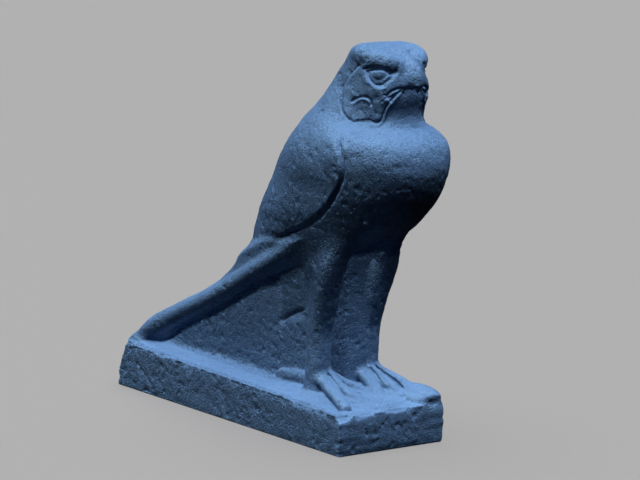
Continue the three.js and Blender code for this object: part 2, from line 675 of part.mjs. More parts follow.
// Thin the skin out by merging the edge that changes the form least, again and again.
// Edges longer than the given length are left alone.
function thinOut(points, triangles, target, longest) {
  const place = points.map((p) => new THREE.Vector3(...p));
  const forms = place.map(() => new Float64Array(10));
  const around = place.map(() => new Set());
  const faces = triangles.map((t) => t.slice());
  const stamp = new Int32Array(place.length);
  const normalOf = (a, b, c) => new THREE.Vector3().subVectors(b, a)
    .cross(new THREE.Vector3().subVectors(c, a));
  faces.forEach((face, id) => {
    const [a, b, c] = face.map((v) => place[v]);
    const normal = normalOf(a, b, c);
    const area = normal.length() / 2;
    normal.normalize();
    for (const v of face) {
      addPlane(forms[v], normal, -normal.dot(a), area * careAt(a));
      around[v].add(id);
    }
  });
  const neighbours = (v) => {
    const out = new Set();
    for (const id of around[v]) for (const w of faces[id]) if (w !== v) out.add(w);
    return out;
  };
  const queue = new EdgeQueue();
  const offer = (a, b) => {
    const form = forms[a].map((value, i) => value + forms[b][i]);
    const middle = new THREE.Vector3().addVectors(place[a], place[b]).multiplyScalar(0.5);
    const reach = place[a].distanceTo(place[b]);
    if (reach > longest) return;
    const best = lowestPoint(form);
    const options = [middle, place[a].clone(), place[b].clone()];
    if (best !== null && best.distanceTo(middle) < reach) options.push(best);
    let spot = middle;
    let cost = Infinity;
    for (const option of options) {
      const value = formAt(form, option);
      if (value < cost) {
        cost = value;
        spot = option;
      }
    }
    cost = Math.max(cost, 0) + 1e-4 * reach ** 2;
    queue.push({ cost, a, b, spot, stampA: stamp[a], stampB: stamp[b] });
  };
  const wouldFold = (v, other, spot) => {
    for (const id of around[v]) {
      const face = faces[id];
      if (face.includes(other)) continue;
      const before = face.map((w) => place[w]);
      const after = face.map((w) => (w === v ? spot : place[w]));
      const n0 = normalOf(...before);
      const n1 = normalOf(...after);
      const side = Math.max(after[0].distanceTo(after[1]), after[1].distanceTo(after[2]),
        after[2].distanceTo(after[0]));
      const thin = n1.length() < 0.04 * side ** 2;
      if (thin && (longest === Infinity || n1.length() < n0.length())) return true;
      if (n0.dot(n1) < 0.35 * n0.length() * n1.length()) return true;
    }
    return false;
  };
  for (let v = 0; v < place.length; v++) for (const w of neighbours(v)) if (w > v) offer(v, w);
  let count = faces.length;
  while (count > target && queue.items.length > 0) {
    const { a, b, spot, stampA, stampB } = queue.pop();
    if (stamp[a] !== stampA || stamp[b] !== stampB) continue;
    const near = neighbours(a);
    const shared = [...neighbours(b)].filter((w) => near.has(w));
    if (shared.length !== 2 || wouldFold(a, b, spot) || wouldFold(b, a, spot)) continue;
    for (const id of [...around[b]]) {
      const face = faces[id];
      if (face.includes(a)) {
        for (const w of face) around[w].delete(id);
        faces[id] = null;
        count--;
      } else {
        face[face.indexOf(b)] = a;
        around[a].add(id);
      }
    }
    around[b].clear();
    place[a] = spot;
    forms[a] = forms[a].map((value, i) => value + forms[b][i]);
    stamp[a]++;
    stamp[b] = -1;
    for (const w of neighbours(a)) offer(a, w);
  }
  return { place, faces: faces.filter((face) => face !== null) };
}

// From the drawing's block to the block named above.
function toBlock(p) {
  const y = (p.y * PLINTH_LENGTH) / DRAWN.length;
  const lift = ((p.z - topAt(p.y)) * FIGURE_HEIGHT) / DRAWN.figure;
  const ground = PLINTH_HEIGHT + PLINTH_RISE * (y / PLINTH_LENGTH + 0.5);
  return [(p.x * PLINTH_WIDTH) / DRAWN.width, y, ground + lift];
}

function plinthGeometry() {
  const half = PLINTH_LENGTH / 2;
  const top = PLINTH_HEIGHT + PLINTH_RISE;
  const backTop = half - BACK_SLOPE * (top - BACK_SLOPE_START);
  const profile = new THREE.Shape([
    new THREE.Vector2(-half, 0),
    new THREE.Vector2(half, 0),
    new THREE.Vector2(half, BACK_SLOPE_START),
    new THREE.Vector2(backTop, PLINTH_HEIGHT + (PLINTH_RISE * (backTop + half)) / PLINTH_LENGTH),
    new THREE.Vector2(-half, PLINTH_HEIGHT),
  ]);
  const geometry = new THREE.ExtrudeGeometry(profile, { depth: PLINTH_WIDTH, bevelEnabled: false });
  geometry.translate(0, 0, -PLINTH_WIDTH / 2);
  geometry.rotateX(Math.PI / 2);
  geometry.rotateZ(Math.PI / 2);
  return geometry;
}

function chipGeometry(chip) {
  const geometry = new THREE.IcosahedronGeometry(1, 1);
  geometry.scale(...chip.size);
  geometry.rotateZ(chip.turn);
  const [x, y, z] = chip.at;
  geometry.translate(
    (x * PLINTH_WIDTH) / DRAWN.width,
    (y * PLINTH_LENGTH) / DRAWN.length,
    z + PLINTH_HEIGHT - DRAWN.plinth,
  );
  return geometry;
}

const wasm = await Module();
wasm.setup();

function toSolid(source) {
  let geometry = source.clone();
  geometry.deleteAttribute('normal');
  geometry.deleteAttribute('uv');
  geometry = mergeVertices(geometry, 1e-4);
  return new wasm.Manifold(new wasm.Mesh({
    numProp: 3,
    vertProperties: new Float32Array(geometry.attributes.position.array),
    triVerts: new Uint32Array(geometry.index.array),
  }));
}

// Geometry of the faces in use, each point passed through a mapping.
function packFaces(thin, mapping) {
  const used = new Map();
  const positions = [];
  const index = [];
  for (const face of thin.faces) {
    for (const v of face) {
      if (!used.has(v)) {
        used.set(v, used.size);
        positions.push(...mapping(thin.place[v]));
      }
      index.push(used.get(v));
    }
  }
  const geometry = new THREE.BufferGeometry();
  geometry.setAttribute('position', new THREE.Float32BufferAttribute(positions, 3));
  geometry.setIndex(index);
  geometry.computeVertexNormals();
  return geometry;
}

// The joined solid leaves some very short edges where two skins meet; they are merged.
function toGeometry(solid) {
  const mesh = solid.getMesh();
  const points = [];
  const triangles = [];
  for (let i = 0; i < mesh.vertProperties.length; i += 3) {
    points.push(Array.from(mesh.vertProperties.slice(i, i + 3)));
  }
  for (let i = 0; i < mesh.triVerts.length; i += 3) {
    triangles.push(Array.from(mesh.triVerts.slice(i, i + 3)));
  }
  return packFaces(thinOut(points, triangles, 0, SHORTEST_EDGE), (p) => [p.x, p.y, p.z]);
}

function falconGeometry() {
  const grid = sampleFigure();
  closeDiagonals(grid);
  const { points, triangles } = skin(grid);
  return packFaces(thinOut(points, triangles, TRIANGLES, Infinity), toBlock);
}

function carvedBlock() {
  let plinth = toSolid(plinthGeometry());
  for (const chip of CHIPS) plinth = plinth.subtract(toSolid(chipGeometry(chip)));
  return toGeometry(plinth.add(toSolid(falconGeometry())));
}

const stone = new THREE.MeshStandardMaterial({ color: STONE_COLOUR, roughness: 0.85, metalness: 0 });
const block = new THREE.Mesh(carvedBlock(), stone);
block.name = 'falcon_on_plinth';

const falcon = new THREE.Group();
falcon.name = 'horus_falcon';
falcon.add(block);

export default falcon;
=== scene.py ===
# Horus falcon figure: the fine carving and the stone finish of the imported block.
# The form is a field that is negative inside the stone, worked out in millimetres.
# It is sampled on a grid, skinned, roughened as worn stone and set over the solid.
import math

import bpy
import numpy as np
from mathutils import Matrix, Vector


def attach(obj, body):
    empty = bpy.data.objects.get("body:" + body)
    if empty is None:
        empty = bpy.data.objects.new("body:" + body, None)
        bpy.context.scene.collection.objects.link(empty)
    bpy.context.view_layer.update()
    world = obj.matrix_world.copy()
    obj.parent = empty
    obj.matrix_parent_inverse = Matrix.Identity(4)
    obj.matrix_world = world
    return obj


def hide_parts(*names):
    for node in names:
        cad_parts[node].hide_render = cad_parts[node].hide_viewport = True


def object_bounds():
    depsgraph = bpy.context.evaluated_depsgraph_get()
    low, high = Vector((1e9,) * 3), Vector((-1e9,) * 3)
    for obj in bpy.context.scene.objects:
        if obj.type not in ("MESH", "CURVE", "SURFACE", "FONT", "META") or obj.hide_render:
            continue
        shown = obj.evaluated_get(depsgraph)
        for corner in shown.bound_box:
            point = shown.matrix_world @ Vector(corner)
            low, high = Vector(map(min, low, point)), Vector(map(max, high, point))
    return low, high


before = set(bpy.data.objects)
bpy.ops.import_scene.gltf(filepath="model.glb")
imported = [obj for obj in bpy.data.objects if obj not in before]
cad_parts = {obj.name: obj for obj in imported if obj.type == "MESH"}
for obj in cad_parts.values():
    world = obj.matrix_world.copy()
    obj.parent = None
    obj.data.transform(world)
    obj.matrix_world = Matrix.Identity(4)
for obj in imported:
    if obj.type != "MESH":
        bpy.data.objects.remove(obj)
cad_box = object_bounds()

MM = 0.001

# Block and plinth, as in the part
PLINTH_LENGTH = 400
PLINTH_WIDTH = 157
PLINTH_HEIGHT = 47
PLINTH_RISE = 7.5
BACK_SLOPE = 0.32
BACK_SLOPE_START = 20
FIGURE_HEIGHT = 411
ROOT_DEPTH = 6
BELLY_HEIGHT = 208
BELLY_SLOPE = 0.5

# Body
CROWN_ROUNDING = 14
WING_RELIEF = 3
WING_OVERHANG = 5
WING_GROOVE_DEPTH = 3.2
WING_GROOVE_WIDTH = 1.9
TAIL_HALF_WIDTH = 56
TAIL_FLARE = 8
TAIL_EDGE_ROUNDING = 11
BEAD_RADIUS = 10.5
WEB_HALF_WIDTH = 25
WEB_FLARE = 10
THIGH_THICKNESS = 12
THIGH_LEAN = 4.5
THIGH_RELIEF = 5
LEG_SPREAD = 36
ANKLE_RADIUS = 14.5
PANEL_FRONT = -107
PANEL_TURN = 0.6
TOE_RADIUS = 9.5
CLAW_RADIUS = 5.5
SPUR_RADIUS = 8.3
MOUND_HEIGHT = 16
PAD_HEIGHT = 12
INSTEP_HEIGHT = 5

# Head
BROW_RADIUS = 8.5
SOCKET_DEPTH = 3.2
BEAK_SLOPE = 0.62
RIDGE_RADIUS = 4.5
MASK_RELIEF = 1.6
THROAT_STEP = 2.5
FACE_TURN = math.radians(41)
FACE_TILT = math.radians(11.6)
EYE = (35, -183, 428)

# Trunk cross-sections: height, front y, back y, half-width in front and behind
TRUNK = [
    (165, -125, 10, 43, 43), (190, -142, 30, 47, 47), (215, -166, 29, 51.5, 51.5),
    (240, -190, 17, 57, 57), (265, -208, 4, 63, 63),
    (290, -226, -8, 68.5, 68.5), (315, -236, -20, 72, 72), (335, -237, -33, 73, 71.5),
    (352, -231, -45.5, 69.5, 67), (363, -219.5, -53, 60, 62.5), (371, -207, -59.5, 48, 58),
    (378, -203.5, -65.5, 43, 53.5), (390, -203.5, -75, 41, 48), (404, -206, -85, 41, 43.5),
    (413, -205, -91, 40, 41.5), (422, -200, -97.5, 39.5, 40.5), (435, -196, -108.5, 39, 39.5),
    (450, -189, -118.5, 38, 38), (463, -181, -127, 37, 37),
]

# Side-view outlines as (y, z)
WING_FRONT = [
    (-150, 372), (-160, 352), (-169, 336), (-171, 320), (-163, 301),
    (-147, 280), (-122, 258), (-95, 242), (-72, 232),
]
WING_REST = [
    (-52, 222), (-20, 205), (14, 185), (40, 168), (60, 190), (30, 330),
    (-60, 430), (-130, 400),
]
TAIL = [
    (-98, 232), (-60, 228), (-20, 220), (22, 197), (33, 182), (45, 170),
    (64, 154.5), (97, 133.5), (134, 112.5), (177, 88.5), (199, 77), (216, 68),
    (216, 30), (161, 56), (133, 76), (97, 97), (59, 119), (11, 149),
    (-26, 173), (-50, 190), (-83, 213),
]
TAIL_BEAD = [
    (-84, 222), (-57, 207), (-26, 187.5), (10, 164), (58, 134), (96, 113),
    (132, 93), (190, 62),
]
WEB = [(-95, 30), (215, 30), (215, 66), (120, 100), (20, 160), (-60, 215), (-95, 215)]
THIGH = [
    (-154, 250), (-84, 254), (-50, 214), (-21, 196), (-25, 160), (-31, 121),
    (-39, 118), (-51, 127), (-68, 134), (-94, 130), (-112, 118), (-126, 150), (-132, 175),
    (-140, 207),
]

# Outlines of the face, as (across, up) from the middle of the eye on a turned plane
MASK = [
    (-15.8, 14.2), (-24.4, 9.3), (-30.7, 1.2), (-35.8, -8), (-38.6, -18.2),
    (-39.2, -31.6), (-35, -42.5), (-26.9, -50), (-17, -48.3), (-8.1, -47.2),
    (-3.5, -49.2), (1, -51.2), (5.4, -49.3), (8.9, -43.5), (11.4, -36.7),
    (15.5, -29.9), (20.6, -22.9), (28, -14.7), (36.3, -0.9), (21.8, 20.6),
    (-0.9, 28.4),
]
SOCKET = [
    (-17.7, 8.5), (-13, 12.2), (-6.6, 12.9), (-1.5, 12.9), (4.6, 12.3), (9.8, 11),
    (12.6, 9), (16, 8.1), (20, 8.9), (21.6, 5.5), (19.3, 1.8),
    (15.1, -2.9), (10.9, -7.6), (7.8, -11.8), (1.5, -13.4), (-5.2, -10.8), (-9.8, -6.6),
    (-13.6, -1), (-15.6, 4.2),
]
THROAT = [
    (8.9, -21.3), (14.2, -14.9), (22.3, -11.1), (35.6, -9.3), (67.8, -8.1),
    (70, -50.4), (5.6, -53.8), (9.5, -43.5), (12, -36.7), (16, -29.2),
]
BEAK_SIDE = [
    (6, -24), (14.2, -14.9), (22.3, -11.1), (35.6, -9.6), (40.5, -12), (43.5, -18), (48, -21),
    (62, -21), (62, 45), (-5, 45), (-5, -10),
]

# Lines of the face: half-width, depth (raised where it is negative) and points
FACE_LINES = [
    (0.9, 1.5, [(-12.2, 5.6), (-6.3, 6.9), (0.6, 8), (6.7, 7.2), (9.8, 4.6)]),
    (1.0, 1.7, [(-11.6, 4.8), (-9.4, -2.1), (-5.2, -7.2), (-0.1, -9.2), (5.2, -8.3),
                (9.2, -4.8), (14.8, -1.8)]),
    (0.8, 1.2, [(7, -0.3), (10.2, 2.2), (14.3, 3.8)]),
    (2.2, 1.3, [(22.4, 20), (22.6, 14), (20.4, 9.6)]),
    (0.9, -0.8, [(9.4, 0.2), (13, 1.4), (16.6, 1.6)]),
    (1.1, 1.3, [(-21, 11.9), (-23.6, 10.1), (-29.2, 3.8), (-35.1, -6), (-38.9, -13),
                (-39.4, -20.7), (-39.9, -30.2)]),
    (1.4, 2.2, [(-39.9, -28), (-37.8, -38.6), (-33.5, -45.2), (-27.3, -49.2)]),
    (1.3, 2.0, [(-27.5, -27.9), (-23.4, -25), (-16.6, -22.9), (-10.7, -23.5), (-7.1, -26.8),
                (-6, -31)]),
    (1.2, -1.0, [(-25.6, -30.6), (-21.6, -27.4), (-16.4, -25.6), (-11.6, -26.4), (-9, -29.6)]),
    (0.9, -0.9, [(-27.3, -31.2), (-27.9, -39.8), (-26.1, -49.2)]),
    (1.4, 2.6, [(25.8, -14.7), (20.9, -20.1), (16, -24.7), (13.7, -29), (10.5, -33.6),
                (9, -37.9), (7.5, -43.1), (5.2, -48.4), (1.1, -51.2), (-3.3, -49.7),
                (-6.7, -47.7)]),
    (1.3, -1.2, [(28, -14.6), (23.6, -20.4), (18.6, -27.4), (14.4, -33.8), (12, -38.8),
                 (9.8, -45), (5.8, -51.8), (0, -54.6), (-6, -53)]),
    (1.2, 2.2, [(7.2, -20), (11.4, -19.8), (14.6, -15.9), (19.6, -12.9), (25.5, -10.9)]),
    (1.0, -1.2, [(12.6, -20.6), (17.3, -17.2), (22.3, -14.9)]),
    (1.0, 1.6, [(9, -23.6), (15.8, -21), (20.8, -17.9), (25.7, -15)]),
]

# Tubes of the legs, feet and head as (x, y, z)
SHIN = [
    (LEG_SPREAD, -107, 50), (LEG_SPREAD, -107.5, 82), (LEG_SPREAD, -106.5, 120),
    (LEG_SPREAD + 1, -111, 150), (LEG_SPREAD + 3, -118, 175), (LEG_SPREAD + 4, -128, 203),
    (LEG_SPREAD - 2, -137, 228),
]
SHIN_SHARES = (1.03, 1, 1.03, 1.07, 1.08, 1, 0.8)
TOES = [
    [(-36, -112, 72), (-42, -134, 63.5), (-47, -156, 56.5), (-54, -179, 50)],
    [(-31, -114, 73), (-30, -138, 63), (-26, -157, 55), (-17, -170, 50)],
    [(-26, -112, 70), (-12, -125, 62), (0, -138, 56), (11, -150, 50)],
    [(26, -114, 70), (20, -135, 63), (14, -153, 56), (11, -166, 50)],
    [(32, -114, 73), (34, -137, 65), (36, -152, 58), (39, -165, 51)],
    [(37, -112, 74), (46, -130, 68), (51, -150, 63), (56, -170, 56)],
]
TOE_SEAMS = [
    [(-34, -116, 79), (-36, -138, 69), (-36.5, -155, 58), (-36, -172, 51)],
    [(-25, -114, 79), (-21, -127, 69), (-15, -141, 59), (-5, -156, 52)],
    [(29, -117, 79), (27, -136, 70), (25, -153, 58), (25, -165, 52)],
    [(35, -115, 80), (40, -134, 71), (43.5, -151, 64), (47.5, -168, 55)],
]
SPUR = [(LEG_SPREAD - 4, -84, 61), (LEG_SPREAD - 6, -58, 59), (LEG_SPREAD - 7, -36, 56.5)]
MOUND = (62, -171, 47)
PADS = [((0, -104, 46), (64, 90, PAD_HEIGHT)),
        ((-28, -139, 51), (21, 35, INSTEP_HEIGHT)), ((37, -138, 51), (24, 34, INSTEP_HEIGHT)),
        ((-LEG_SPREAD + 3, -114, 57), (14, 17, 13)), ((LEG_SPREAD, -114, 57), (15, 17, 13))]
BROW = [
    (23, -132, 446), (30, -147, 448), (32, -161, 447.5), (30, -174, 446), (24, -185, 444),
    (17, -191, 442.5),
]
BEAK = [
    (-150, 449), (-168, 451.5), (-182, 452.5), (-194, 450.5), (-203.5, 446), (-210.5, 440.5),
    (-215.5, 432), (-217.3, 423.5), (-216.5, 416.5), (-213.5, 409.5), (-209, 390), (-150, 380),
]
CHEEK = [(9, -191, 424), (19, -183, 421), (26, -173, 420)]
EYE_BALL = (26.5, -176.5, 429.5)
EYE_OPENING = [
    (-11.4, 4.8), (-6.3, 6.2), (0.6, 7.2), (6.7, 6.4), (9.6, 4), (11.5, 0), (8.6, -4.2),
    (4.9, -7.4), (-0.1, -8.3), (-4.9, -6.4), (-8.9, -1.6),
]

# Chips knocked out of the plinth: centre, radii and turn about the vertical
CHIPS = [
    ((-80, -203, 52), (24, 15, 13), 0.4),
    ((-68, -176, 55), (16, 26, 10), -0.5),
    ((-38, -203, 52), (24, 7, 7), 0.1),
    ((10, -204, 51), (32, 9, 9), -0.05),
    ((60, -204, 51), (14, 9, 8), 0.2),
    ((-82, 128, 60), (9, 28, 11), 0.1),
    ((-86, 188, 64), (13, 20, 16), 0.3),
    ((-84, 20, 60), (7, 30, 10), 0),
    ((84, 70, 60), (8, 36, 10), 0.1),
    ((86, 206, 60), (16, 20, 16), 0.6),
]

# Marks on the near side as (x, y, z), with their depth and half-width
SIDE_SCRATCH = [(-78, 166, 32), (-78, 158, 26), (-78, 149, 20), (-78, 140, 13)]
WING_SCRATCH = [(-69, -67, 263), (-69, -74, 255), (-69, -76, 248)]
SCRATCH_DEPTH = 1.8
SCRATCH_WIDTH = 2
WEB_GOUGE = [(-27, -25, 117), (-27, -44, 125), (-27, -66, 134)]
GOUGE_DEPTH = 5
GOUGE_WIDTH = 4
WEB_STEP_DEPTH = 3.5
WEB_STEP_CORNER = (-23, 115)

# Finish: how rough each ground is, from 0 for polished to 1 for tooled
BIRD_ROUGHNESS = 0.42
SIDE_ROUGHNESS = 1.0
FRONT_ROUGHNESS = 0.5
WEB_ROUGHNESS = 0.95
GROUND_ROUGHNESS = 0.5

# Stage
FLOOR_COLOUR = (0.094, 0.094, 0.095, 1)
OVERHEAD_SUN = 2.6
OVERHEAD_FILL = 10.6
SIDE_SUN = 7.0


def smooth_min(a, b, k):
    """The lesser of two fields, blended where they are within k of each other."""
    h = np.maximum(k - np.abs(a - b), 0)
    return np.minimum(a, b) - h * h / (4 * k)


def smooth_max(a, b, k):
    return -smooth_min(-a, -b, k)


def step(lo, hi, v):
    """Eases from 0 at lo to 1 at hi."""
    t = np.clip((v - lo) / (hi - lo), 0, 1)
    return t * t * (3 - 2 * t)


def curve(points, steps, closed=False):
    """A smooth curve through the points, as a polyline."""
    p = np.asarray(points, float)
    n = len(p)
    out = []
    for i in range(n if closed else n - 1):
        if closed:
            a, b, c, d = p[i - 1], p[i], p[(i + 1) % n], p[(i + 2) % n]
        else:
            b, c = p[i], p[i + 1]
            a = p[i - 1] if i else 2 * b - c
            d = p[i + 2] if i + 2 < n else 2 * c - b
        for t in np.arange(steps) / steps:
            cubic = (2 * a - 5 * b + 4 * c - d) * t ** 2 + (3 * b - a - 3 * c + d) * t ** 3
            out.append(0.5 * (2 * b + (c - a) * t + cubic))
    if not closed:
        out.append(p[-1])
    return np.array(out)


def line_distance(line, u, v, closed=False):
    """Distance from each place to a polyline."""
    best = np.full(np.broadcast(u, v).shape, 1e9)
    for i in range(len(line) if closed else len(line) - 1):
        (ax, ay), (bx, by) = line[i], line[(i + 1) % len(line)]
        dx, dy = bx - ax, by - ay
        t = np.clip(((u - ax) * dx + (v - ay) * dy) / (dx * dx + dy * dy), 0, 1)
        best = np.minimum(best, (u - ax - t * dx) ** 2 + (v - ay - t * dy) ** 2)
    return np.sqrt(best)


def region(line, u, v):
    """Signed distance to a closed outline, negative inside."""
    inside = np.zeros(np.broadcast(u, v).shape, bool)
    for i in range(len(line)):
        (ax, ay), (bx, by) = line[i], line[(i + 1) % len(line)]
        if ay != by:
            inside ^= ((ay > v) != (by > v)) & (u < (bx - ax) * (v - ay) / (by - ay) + ax)
    d = line_distance(line, u, v, closed=True)
    return np.where(inside, -d, d)


def section(column, z):
    """One column of the trunk table at each height."""
    line = curve([(row[0], row[column]) for row in TRUNK], 8)
    return np.interp(z, line[:, 0], line[:, 1])


def inflate(x, side, width, rounding):
    """A slab of a side outline and half-width, with rounded edges."""
    a = np.abs(x) / width
    b = np.maximum(1 + side / rounding, 0)
    q = np.sqrt(a * a + b * b)
    return (q - 1) * (a * a * width + b * b * rounding) / np.maximum(q * q, 1e-6)


def tube(x, y, z, points, radii, squash=1.0):
    """A tapering round tube along points."""
    best = None
    for a, b, ra, rb in zip(points, points[1:], radii, radii[1:]):
        d = [b[i] - a[i] for i in range(3)]
        length2 = sum(c * c for c in d)
        t = np.clip(((x - a[0]) * d[0] + (y - a[1]) * d[1] + (z - a[2]) * d[2]) / length2, 0, 1)
        off = (x - a[0] - t * d[0]) ** 2 + (y - a[1] - t * d[1]) ** 2
        off = np.sqrt(off + ((z - a[2] - t * d[2]) * squash) ** 2) - ra - t * (rb - ra)
        best = off if best is None else np.minimum(best, off)
    return best


def ball(x, y, z, centre, radii):
    """An ellipsoid, as nearly a distance as its radii allow."""
    a = [(v - c) / r for v, c, r in zip((x, y, z), centre, radii)]
    k = np.sqrt(a[0] ** 2 + a[1] ** 2 + a[2] ** 2)
    slope = np.sqrt(sum((v / r) ** 2 for v, r in zip(a, radii)))
    return k * (k - 1) / np.maximum(slope, 1e-9)


def top_at(y):
    """Height of the plinth's top, which rises towards the back."""
    return PLINTH_HEIGHT + PLINTH_RISE * (y / PLINTH_LENGTH + 0.5)


def trunk(x, y, z):
    front, back, half, half_back = (section(column, z) for column in (1, 2, 3, 4))
    half = half + (half_back - half) * step(-170, -115, y)
    middle, reach = (front + back) / 2, (back - front) / 2
    n = 2.35 + 0.15 * step(372, 396, z)
    u = np.abs(y - middle) / reach
    s = np.abs(x) / half
    q = (u ** n + s ** n) ** (1 / n)
    slope = np.sqrt((s ** (n - 1) / half) ** 2 + (1.18 * u ** (n - 1) / reach) ** 2)
    slope = slope / np.maximum(q ** (n - 1), 1e-6)
    below = (BELLY_HEIGHT - BELLY_SLOPE * (y - PANEL_FRONT) - z) * 0.9
    body = smooth_max((q - 1) / np.maximum(slope, 1 / 120), below, 14)
    return smooth_max(body, z - (PLINTH_HEIGHT + FIGURE_HEIGHT), CROWN_ROUNDING)


def wings(f, x, y, z, side):
    """The wings stand proud of the breast and overhang the thighs."""
    flank = step(30, 50, np.abs(x))
    high = step(345, 374, z)
    soft = 2 + 9 * high + 14 * step(-70, -20, y)
    relief = WING_RELIEF * (1 - 0.5 * high) + WING_OVERHANG * step(300, 245, z)
    plate = relief * step(soft, -soft, side["wing"])
    cut = WING_GROOVE_DEPTH * np.exp(-(side["wing_front"] / WING_GROOVE_WIDTH) ** 2) * (1 - high)
    return f - (plate - cut) * flank


def tail(f, x, y, z, side):
    """The tail board with its rolled edge."""
    half = TAIL_HALF_WIDTH + TAIL_FLARE * step(60, 190, y)
    out = smooth_min(f, inflate(x, side["tail"], half, TAIL_EDGE_ROUNDING), 18)
    last = len(TAIL_BEAD) - 1
    path = [(TAIL_HALF_WIDTH - 8 + TAIL_FLARE * i / last, *p) for i, p in enumerate(TAIL_BEAD)]
    radii = [BEAD_RADIUS / 2] + [BEAD_RADIUS + 0.2 * i for i in range(1, last + 1)]
    return smooth_min(out, tube(np.abs(x), y, z, path, radii), 4)


def web(f, x, y, z, side):
    """The wall of stone that joins legs, tail and plinth."""
    slab = inflate(x, side["web"], WEB_HALF_WIDTH + WEB_FLARE * step(60, 170, y), 4)
    half = WEB_HALF_WIDTH + 14 * step(150, 215, z)
    panel = np.maximum(np.abs(x) - half, PANEL_FRONT - PANEL_TURN * np.maximum(x, 0) - y)
    panel = np.maximum(panel, np.maximum(y + 30, z - 240))
    return smooth_min(smooth_min(f, slab, 4), panel, 5)


def tail_end(y, z):
    return np.maximum((y - 189) * 0.95 + (z - 54.5) * 0.3, (y - 190) * 0.78 + (z - 58) * 0.62)


def legs(f, x, y, z, side):
    """Thighs, with a flap back to the web, and shins."""
    middle = LEG_SPREAD + THIGH_LEAN * step(145, 205, z)
    flap = WEB_HALF_WIDTH + THIGH_RELIEF + 0.1 * (z - 150)
    outer = middle + THIGH_THICKNESS - 13 * step(200, 245, z) * step(-100, -150, y)
    outer = outer + (flap - outer) * step(-112, -52, y)
    inner = np.minimum(middle - THIGH_THICKNESS, outer - 6)
    slab = inflate(np.abs(x) - (outer + inner) / 2, side["thigh"], (outer - inner) / 2, 10)
    blend = 6 + 10 * step(200, 238, z)
    out = smooth_min(f, slab, blend)
    radii = curve([(share * ANKLE_RADIUS,) for share in SHIN_SHARES], 3)[:, 0]
    return smooth_min(out, tube(np.abs(x), y, z, curve(SHIN, 3), radii), blend)


def feet(x, y, z):
    """Three toes and a spur to each foot, on low pads of stone."""
    radii = [TOE_RADIUS + 1, TOE_RADIUS - 1.5, TOE_RADIUS - 1.5, CLAW_RADIUS + 1]
    toes = np.full(np.broadcast(x, y, z).shape, 1e3)
    for path in TOES:
        toes = smooth_min(toes, tube(x, y, z, path, radii, 1.15), 1.5)
    for centre, size in PADS:
        toes = smooth_min(toes, ball(x, y, z - 1.5, centre, size) + 1, 3)
    spur_radii = [SPUR_RADIUS, SPUR_RADIUS, SPUR_RADIUS * 0.7]
    toes = smooth_min(toes, tube(np.abs(x), y, z, SPUR, spur_radii), 3)
    toes = smooth_min(toes, ball(x, y, z, MOUND, (26, 34, MOUND_HEIGHT)), 6)
    for path in TOE_SEAMS:
        toes = smooth_max(toes, -tube(x, y, z, path, (1.6, 2.4, 2.4, 1.6), 1), 1.5)
    toes = smooth_max(toes, -y - PLINTH_LENGTH / 2 + 1, 3)
    return smooth_max(toes, np.abs(x) - PLINTH_WIDTH / 2 + 1, 3)


class FaceMap:
    """A value worked out once over the face plane and read back at any place of it."""

    def __init__(self, rule):
        self.low = np.array([-62.0, -62.0])
        self.pitch = 0.35
        self.size = (410, 320)
        a = self.low[0] + self.pitch * np.arange(self.size[0])[:, None]
        b = self.low[1] + self.pitch * np.arange(self.size[1])[None, :]
        self.values = rule(a, b)

    def at(self, across, up):
        s = np.clip((across - self.low[0]) / self.pitch, 0, self.size[0] - 1.001)
        t = np.clip((up - self.low[1]) / self.pitch, 0, self.size[1] - 1.001)
        i, j = s.astype(int), t.astype(int)
        s, t = s - i, t - j
        v = self.values
        return ((v[i, j] * (1 - s) + v[i + 1, j] * s) * (1 - t)
                + (v[i, j + 1] * (1 - s) + v[i + 1, j + 1] * s) * t)


def all_face_lines(a, b):
    total = np.zeros(np.broadcast(a, b).shape)
    for width, depth, points in FACE_LINES:
        total += depth * np.exp(-(line_distance(curve(points, 4), a, b) / width) ** 2)
    return total


mask_map = FaceMap(lambda a, b: region(curve(MASK, 3, True), a, b))
socket_map = FaceMap(lambda a, b: region(curve(SOCKET, 3, True), a, b))
eye_map = FaceMap(lambda a, b: region(curve(EYE_OPENING, 3, True), a, b))
throat_map = FaceMap(lambda a, b: region(np.array(THROAT), a, b))
beak_map = FaceMap(lambda a, b: region(np.array(BEAK_SIDE), a, b))
line_map = FaceMap(all_face_lines)


def beak_profile(y, z):
    return region(curve(BEAK, 3, True), y, z)


